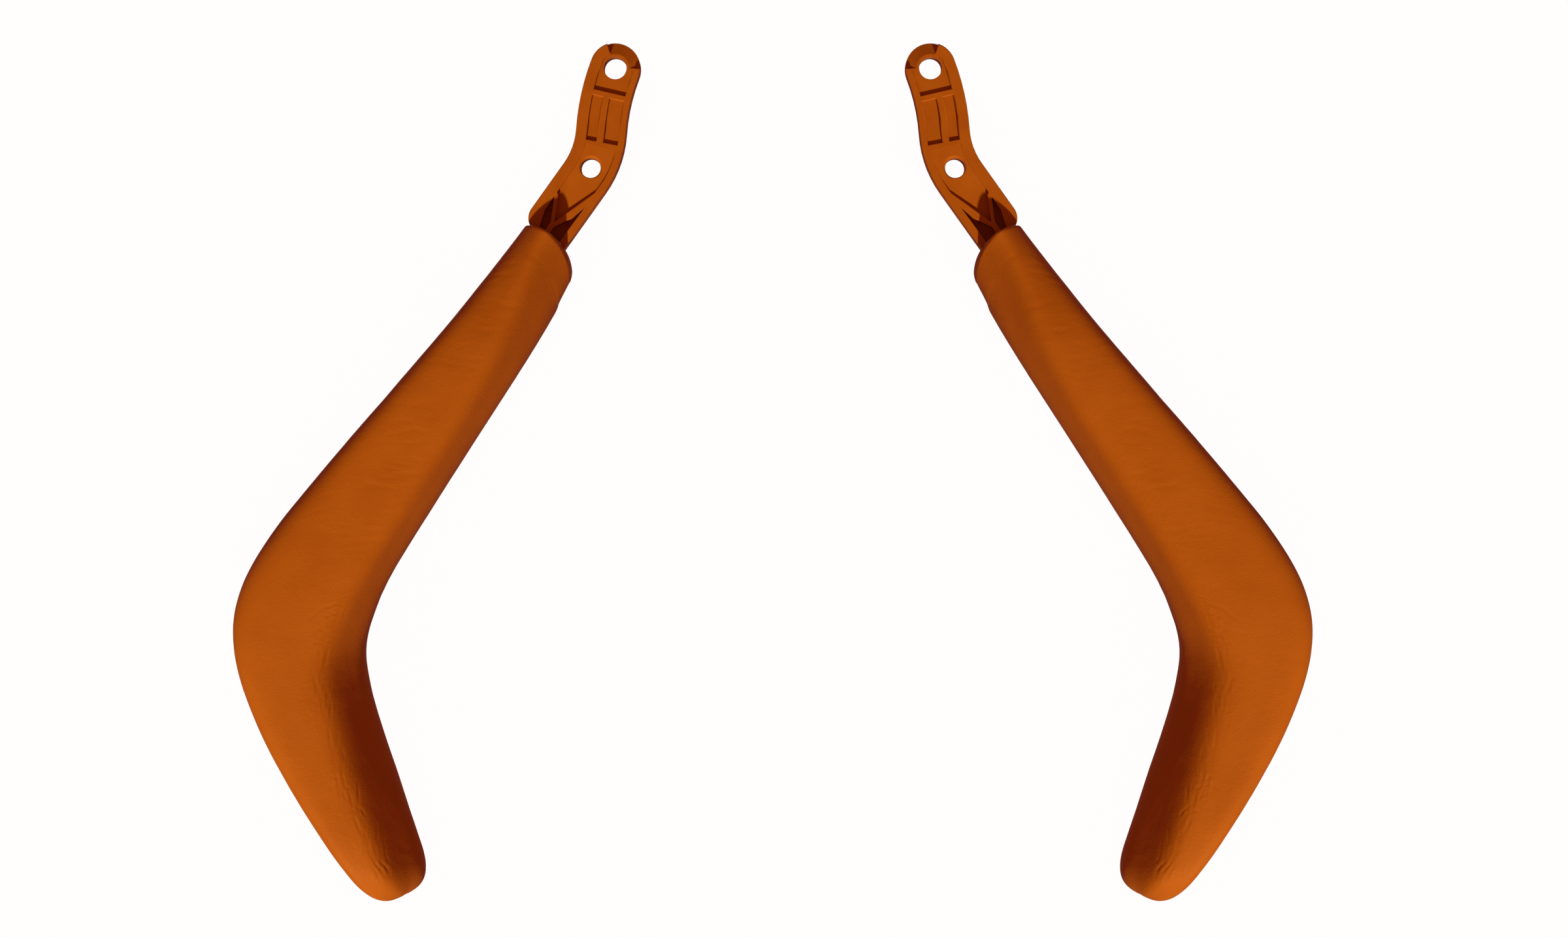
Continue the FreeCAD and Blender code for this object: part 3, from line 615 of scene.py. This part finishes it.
def panel_mesh():
    """The back panel, crowned a little, with its edge turned up into the seam."""
    end_gap = 0.4
    ts = np.concatenate([SEAM_STARTS + end_gap + np.linspace(0, 1, 14) ** 2 * ROUND_START,
                         np.arange(SEAM_STARTS + ROUND_START + 2, SEAM_ENDS - ROUND_END - 1, 2.0),
                         SEAM_ENDS - end_gap - (1 - np.linspace(0, 1, 16)) ** 2 * ROUND_END])
    across = np.sin(np.linspace(-np.pi / 2, np.pi / 2, 41))
    t = np.repeat(ts[:, None], len(across), axis=1)
    half = np.maximum(seam_half(ts) - 0.35, 0.2)[:, None]
    u = seam_middle(ts)[:, None] + half * across[None, :]
    depth = half * (1 - np.abs(across))[None, :]
    depth = np.minimum(depth, np.minimum(ts - ts[0], ts[-1] - ts)[:, None])
    z = ROLL_RISE * np.clip(1 - depth / 2.2, 0, 1) ** 2 + 0.25 * np.exp(-(depth / 9.0) ** 2)
    bottom = to_world(np.stack([t, u, np.maximum(z, 0.02)], axis=-1))
    top = bottom.copy()
    top[..., 2] = np.maximum(bottom[..., 2] + 0.5, LEATHER)
    vertices, faces = closed_sheet(bottom, top)

    # Its seam allowance is turned in behind the sleeve's edge, and reaches past both ends.
    wide_t = np.linspace(SEAM_STARTS - 3.5, SEAM_ENDS + 2.0, 220)
    wide_half = seam_half(np.clip(wide_t, SEAM_STARTS + 1.0, SEAM_ENDS - 1.0)) + 1.8
    wide_u = seam_middle(wide_t)[:, None] + wide_half[:, None] * across[None, :]
    wide_t = np.repeat(wide_t[:, None], len(across), axis=1)
    low, high = (to_world(np.stack([wide_t, wide_u, np.full(wide_t.shape, height)], axis=-1))
                 for height in (1.12, 1.36))
    more_vertices, more_faces = closed_sheet(low, high)
    faces += [tuple(len(vertices) + corner for corner in face) for face in more_faces]
    return np.vstack([vertices, more_vertices]), faces


def stitch_mesh():
    """Short threads laid over the closing seam, one a pitch on both sides."""
    half_length, thread_radius, end_share = 2.1, 0.34, 0.45
    ring_count, corners = 7, 8
    last = ring_count - 1
    along = np.linspace(-1, 1, ring_count)
    vertices, faces = [], []
    for side in (-1, 1):
        for t in np.arange(SEAM_STARTS + 7, SEAM_ENDS - 6, STITCH_PITCH):
            ring_t = t + half_length * along
            u = seam_middle(ring_t) + side * (seam_half(ring_t) - 0.1)
            rise = 0.75 + 0.35 * along ** 2
            x, y = spine.place(ring_t, u)
            line = np.stack([x, y, rise], axis=1)
            base = len(vertices)
            for ring, point in enumerate(line):
                ahead = line[min(ring + 1, last)] - line[max(ring - 1, 0)]
                ahead /= np.linalg.norm(ahead)
                flank = np.cross(ahead, [0, 0, 1.0])
                up = np.cross(flank, ahead)
                radius = thread_radius * (end_share if ring in (0, last) else 1.0)
                for corner in range(corners):
                    angle = corner * 2 * math.pi / corners
                    vertices.append(point + radius * (math.cos(angle) * flank + math.sin(angle) * up))
            for ring in range(ring_count - 1):
                here, there = base + ring * corners, base + (ring + 1) * corners
                for corner in range(corners):
                    after = (corner + 1) % corners
                    faces.append((here + corner, here + after, there + after, there + corner))
            faces.append(tuple(base + corner for corner in range(corners - 1, -1, -1)))
            faces.append(tuple(base + last * corners + corner for corner in range(corners)))
    return np.array(vertices), faces


# ---------------------------------------------------------------- materials

def principled(name):
    """A new material with its nodes, its links and its shader."""
    material = bpy.data.materials.new(name)
    material.use_nodes = True
    nodes = material.node_tree.nodes
    shader = nodes["Principled BSDF"]
    return material, nodes, material.node_tree.links, shader


def noise_node(nodes, links, space, scale, detail, roughness=0.5):
    """Noise with that many hills a metre."""
    node = nodes.new("ShaderNodeTexNoise")
    node.inputs["Scale"].default_value = scale
    node.inputs["Detail"].default_value = detail
    node.inputs["Roughness"].default_value = roughness
    links.new(space, node.inputs["Vector"])
    return node


def ramp_node(nodes, links, factor, dark, bright, dark_at=0.3, bright_at=0.7):
    """A colour between dark and bright, by a factor."""
    ramp = nodes.new("ShaderNodeValToRGB")
    for element, position, colour in zip(ramp.color_ramp.elements, (dark_at, bright_at), (dark, bright)):
        element.position = position
        element.color = (*colour, 1)
    links.new(factor, ramp.inputs["Fac"])
    return ramp.outputs["Color"]


def bump_node(nodes, links, height, strength, distance, normal=None):
    """Bumps of that height, in metres, on top of another normal if one is given."""
    bump = nodes.new("ShaderNodeBump")
    bump.inputs["Strength"].default_value = strength
    bump.inputs["Distance"].default_value = distance
    links.new(height, bump.inputs["Height"])
    if normal is not None:
        links.new(normal, bump.inputs["Normal"])
    return bump.outputs["Normal"]


SHEEN = (1.0, 0.3, 0.06, 1.0)


def vary_gloss(nodes, links, shader, pattern, least, most):
    """Roughness between two values by a noise pattern, under a weak, warm sheen."""
    rough = nodes.new("ShaderNodeMapRange")
    rough.inputs["To Min"].default_value = least
    rough.inputs["To Max"].default_value = most
    links.new(pattern.outputs["Fac"], rough.inputs["Value"])
    links.new(rough.outputs["Result"], shader.inputs["Roughness"])
    shader.inputs["Specular IOR Level"].default_value = 0.35
    shader.inputs["Specular Tint"].default_value = SHEEN


def leather_material(name, dark, bright, roughness):
    """Dyed leather: broad patches of colour, a pebbled grain and finer pores."""
    material, nodes, links, shader = principled(name)
    space = nodes.new("ShaderNodeTexCoord").outputs["Object"]
    patches = noise_node(nodes, links, space, 38.0, 4.0)
    links.new(ramp_node(nodes, links, patches.outputs["Fac"], dark, bright), shader.inputs["Base Color"])
    pebble = nodes.new("ShaderNodeTexVoronoi")
    pebble.feature = "DISTANCE_TO_EDGE"
    pebble.inputs["Scale"].default_value = 900.0
    warp = noise_node(nodes, links, space, 260.0, 2.0)
    mixed = nodes.new("ShaderNodeMixRGB")
    mixed.inputs["Fac"].default_value = 0.004
    links.new(space, mixed.inputs["Color1"])
    links.new(warp.outputs["Color"], mixed.inputs["Color2"])
    links.new(mixed.outputs["Color"], pebble.inputs["Vector"])
    soft = nodes.new("ShaderNodeMapRange")
    soft.inputs["From Max"].default_value = 0.35
    soft.interpolation_type = "SMOOTHSTEP"
    links.new(pebble.outputs["Distance"], soft.inputs["Value"])
    grain = bump_node(nodes, links, soft.outputs["Result"], 0.22, 0.00022)
    wide = noise_node(nodes, links, space, 420.0, 5.0, 0.6)
    normal = bump_node(nodes, links, wide.outputs["Fac"], 0.3, 0.0003, grain)
    links.new(normal, shader.inputs["Normal"])
    vary_gloss(nodes, links, shader, patches, roughness - 0.05, roughness + 0.07)
    return material


def plastic_material(name, dark, bright, roughness, speckle):
    """Moulded plastic with a fine eroded texture."""
    material, nodes, links, shader = principled(name)
    space = nodes.new("ShaderNodeTexCoord").outputs["Object"]
    patches = noise_node(nodes, links, space, 90.0, 5.0)
    links.new(ramp_node(nodes, links, patches.outputs["Fac"], dark, bright), shader.inputs["Base Color"])
    grain = noise_node(nodes, links, space, 1300.0, 3.0, 0.6)
    links.new(bump_node(nodes, links, grain.outputs["Fac"], speckle, 0.00012), shader.inputs["Normal"])
    vary_gloss(nodes, links, shader, grain, roughness - 0.06, roughness + 0.08)
    return material


def thread_material(name, colour):
    """Twisted thread, with painted shade in the grooves between its strands."""
    material, nodes, links, shader = principled(name)
    space = nodes.new("ShaderNodeTexCoord").outputs["Object"]
    twist = nodes.new("ShaderNodeTexWave")
    twist.inputs["Scale"].default_value = 900.0
    twist.inputs["Distortion"].default_value = 2.0
    links.new(space, twist.inputs["Vector"])
    # Painted shade: the colour darkens to six tenths where the wave sinks into the grooves between the
    # strands, the same wave that bumps them.
    furrow_shade = tuple(0.6 * channel for channel in colour)
    links.new(ramp_node(nodes, links, twist.outputs["Fac"], furrow_shade, colour, 0.0, 1.0),
              shader.inputs["Base Color"])
    links.new(bump_node(nodes, links, twist.outputs["Fac"], 0.5, 0.0001), shader.inputs["Normal"])
    shader.inputs["Roughness"].default_value = 0.6
    return material


def metal_material(name, dark, bright, roughness):
    """Plain metal with fine scratches."""
    material, nodes, links, shader = principled(name)
    space = nodes.new("ShaderNodeTexCoord").outputs["Object"]
    scratches = noise_node(nodes, links, space, 600.0, 6.0, 0.7)
    links.new(ramp_node(nodes, links, scratches.outputs["Fac"], dark, bright), shader.inputs["Base Color"])
    links.new(bump_node(nodes, links, scratches.outputs["Fac"], 0.2, 0.0001), shader.inputs["Normal"])
    shader.inputs["Metallic"].default_value = 1.0
    shader.inputs["Roughness"].default_value = roughness
    return material


def fibre_material(name, dark, bright, scale):
    """Loose fibres or foam cells, quite matt."""
    material, nodes, links, shader = principled(name)
    space = nodes.new("ShaderNodeTexCoord").outputs["Object"]
    cells = noise_node(nodes, links, space, scale, 6.0, 0.7)
    links.new(ramp_node(nodes, links, cells.outputs["Fac"], dark, bright), shader.inputs["Base Color"])
    links.new(bump_node(nodes, links, cells.outputs["Fac"], 0.8, 0.0006), shader.inputs["Normal"])
    shader.inputs["Roughness"].default_value = 0.95
    return material


LEATHER_DARK, LEATHER_BRIGHT = (0.385, 0.086, 0.0034), (0.42, 0.097, 0.0042)
front_leather = leather_material("front_leather", LEATHER_DARK, LEATHER_BRIGHT, 0.55)
back_leather = leather_material("back_leather", (0.26, 0.05, 0.003), (0.33, 0.066, 0.004), 0.62)
moulded = plastic_material("moulded_plastic", (0.37, 0.08, 0.003), (0.42, 0.096, 0.004), 0.5, 0.35)
inner_plastic = plastic_material("inner_plastic", (0.03, 0.03, 0.032), (0.05, 0.05, 0.052), 0.5, 0.3)
thread_finish = thread_material("sewing_thread", (0.32, 0.07, 0.01))
screw_steel = metal_material("screw_steel", (0.45, 0.46, 0.48), (0.68, 0.68, 0.66), 0.35)
staple_steel = metal_material("staple_wire", (0.4, 0.4, 0.4), (0.62, 0.61, 0.58), 0.4)
wadding_white = fibre_material("wadding_fibre", (0.6, 0.6, 0.57), (0.82, 0.82, 0.79), 900.0)
foam_cream = fibre_material("foam_cells", (0.55, 0.47, 0.3), (0.74, 0.66, 0.45), 1400.0)

CARRIED = {
    "arm_frame": moulded,
    "wadding": wadding_white,
    "foam_front": foam_cream,
    "foam_back": foam_cream,
    "collar_plate": inner_plastic,
    "collar_screws": screw_steel,
    "staples": staple_steel,
}


def finish_node(node, material):
    """Give a carried-over CAD node its material."""
    slots = node.data.materials
    if len(slots) == 0:
        slots.append(material)
    for index in range(len(slots)):
        slots[index] = material


# ---------------------------------------------------------------- both arms

for side in ("right", "left"):
    body = f"{side}_arm"
    for node, material in CARRIED.items():
        finish_node(frame["nodes"][f"{node}_{side}"], material)

    sleeve = new_object(f"leather_sleeve_{side}", *mirrored(*sleeve_mesh(), side))
    sleeve.data.materials.append(front_leather)
    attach(sleeve, body)
    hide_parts(f"front_cover_{side}")

    panel = new_object(f"back_panel_{side}", *mirrored(*panel_mesh(), side))
    panel.data.materials.append(back_leather)
    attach(panel, body)
    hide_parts(f"back_cover_{side}")

    stitches = new_object(f"seam_stitches_{side}", *mirrored(*stitch_mesh(), side))
    stitches.data.materials.append(thread_finish)
    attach(stitches, body)
    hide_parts(f"seam_thread_{side}")


# ---------------------------------------------------------------- floor, light, camera

VIEW_WIDE = 0.8443              # metres across the picture at the height it is framed for
VIEW_HIGH = 0.024               # that height
CENTRE_X, CENTRE_Y = 0.006, 0.002
LENS, SENSOR = 85.0, 36.0
FLOOR_REACH = 12.0
FLOOR_GAP = 0.0004              # keeps the floor just under the leather

floor_mesh = bpy.data.meshes.new("studio_floor")
floor_corners = [(x * FLOOR_REACH, y * FLOOR_REACH, 0) for x, y in ((-1, -1), (1, -1), (1, 1), (-1, 1))]
floor_mesh.from_pydata(floor_corners, [], [(0, 1, 2, 3)])
floor = bpy.data.objects.new("studio_floor", floor_mesh)
floor.location.z = cad_box[0][2] - FLOOR_GAP
bpy.context.scene.collection.objects.link(floor)
floor_paint, _, _, floor_shader = principled("studio_white")
floor_shader.inputs["Base Color"].default_value = (0.12, 0.12, 0.12, 1)
floor_shader.inputs["Roughness"].default_value = 0.9
floor_shader.inputs["Emission Color"].default_value = (1, 1, 1, 1)
floor_shader.inputs["Emission Strength"].default_value = 0.97
floor_mesh.materials.append(floor_paint)
floor.visible_diffuse = False
floor.visible_glossy = False

world_light = bpy.data.worlds.new("studio")
bpy.context.scene.world = world_light
world_light.use_nodes = True
background = world_light.node_tree.nodes["Background"]
background.inputs["Color"].default_value = (1.0, 0.4, 0.32, 1)
background.inputs["Strength"].default_value = 0.3


def area_light(name, azimuth, elevation, distance, size, power):
    """A round soft box that faces the frame's origin; azimuth is from +X, in degrees."""
    light = bpy.data.lights.new(name, "AREA")
    light.shape = "DISK"
    light.size = size
    light.energy = power
    lamp = bpy.data.objects.new(name, light)
    a, e = math.radians(azimuth), math.radians(elevation)
    way = Vector((math.cos(a) * math.cos(e), math.sin(a) * math.cos(e), math.sin(e)))
    lamp.location = way * distance
    lamp.rotation_euler = (-way).to_track_quat("-Z", "Y").to_euler()
    bpy.context.scene.collection.objects.link(lamp)
    return lamp


def light_only(lamp, side):
    """Let a lamp light one arm alone."""
    lit = bpy.data.collections.new(f"lit_{side}_arm")
    for piece in bpy.context.scene.objects:
        if piece.type == "MESH" and piece.name.endswith(side):
            lit.objects.link(piece)
    lamp.light_linking.receiver_collection = lit


# Each arm has its own softbox, turned to its outer side, so that the pair is lit as mirror images.
KEY_TURN, KEY_ELEVATION = 22.0, 38
KEY_DISTANCE, KEY_SIZE, KEY_POWER = 6.0, 0.3, 400
for side, turned in (("right", KEY_TURN), ("left", -KEY_TURN)):
    light_only(area_light(f"key_softbox_{side}", -90 + turned, KEY_ELEVATION,
                          KEY_DISTANCE, KEY_SIZE, KEY_POWER), side)

camera_data = bpy.data.cameras.new("camera")
camera_data.lens = LENS
camera_data.sensor_width = SENSOR
camera_data.clip_end = 40.0
camera = bpy.data.objects.new("camera", camera_data)
camera.location = (CENTRE_X, CENTRE_Y, VIEW_HIGH + VIEW_WIDE * LENS / SENSOR)
bpy.context.scene.collection.objects.link(camera)
bpy.context.scene.camera = camera
bpy.context.scene.view_settings.view_transform = "Standard"
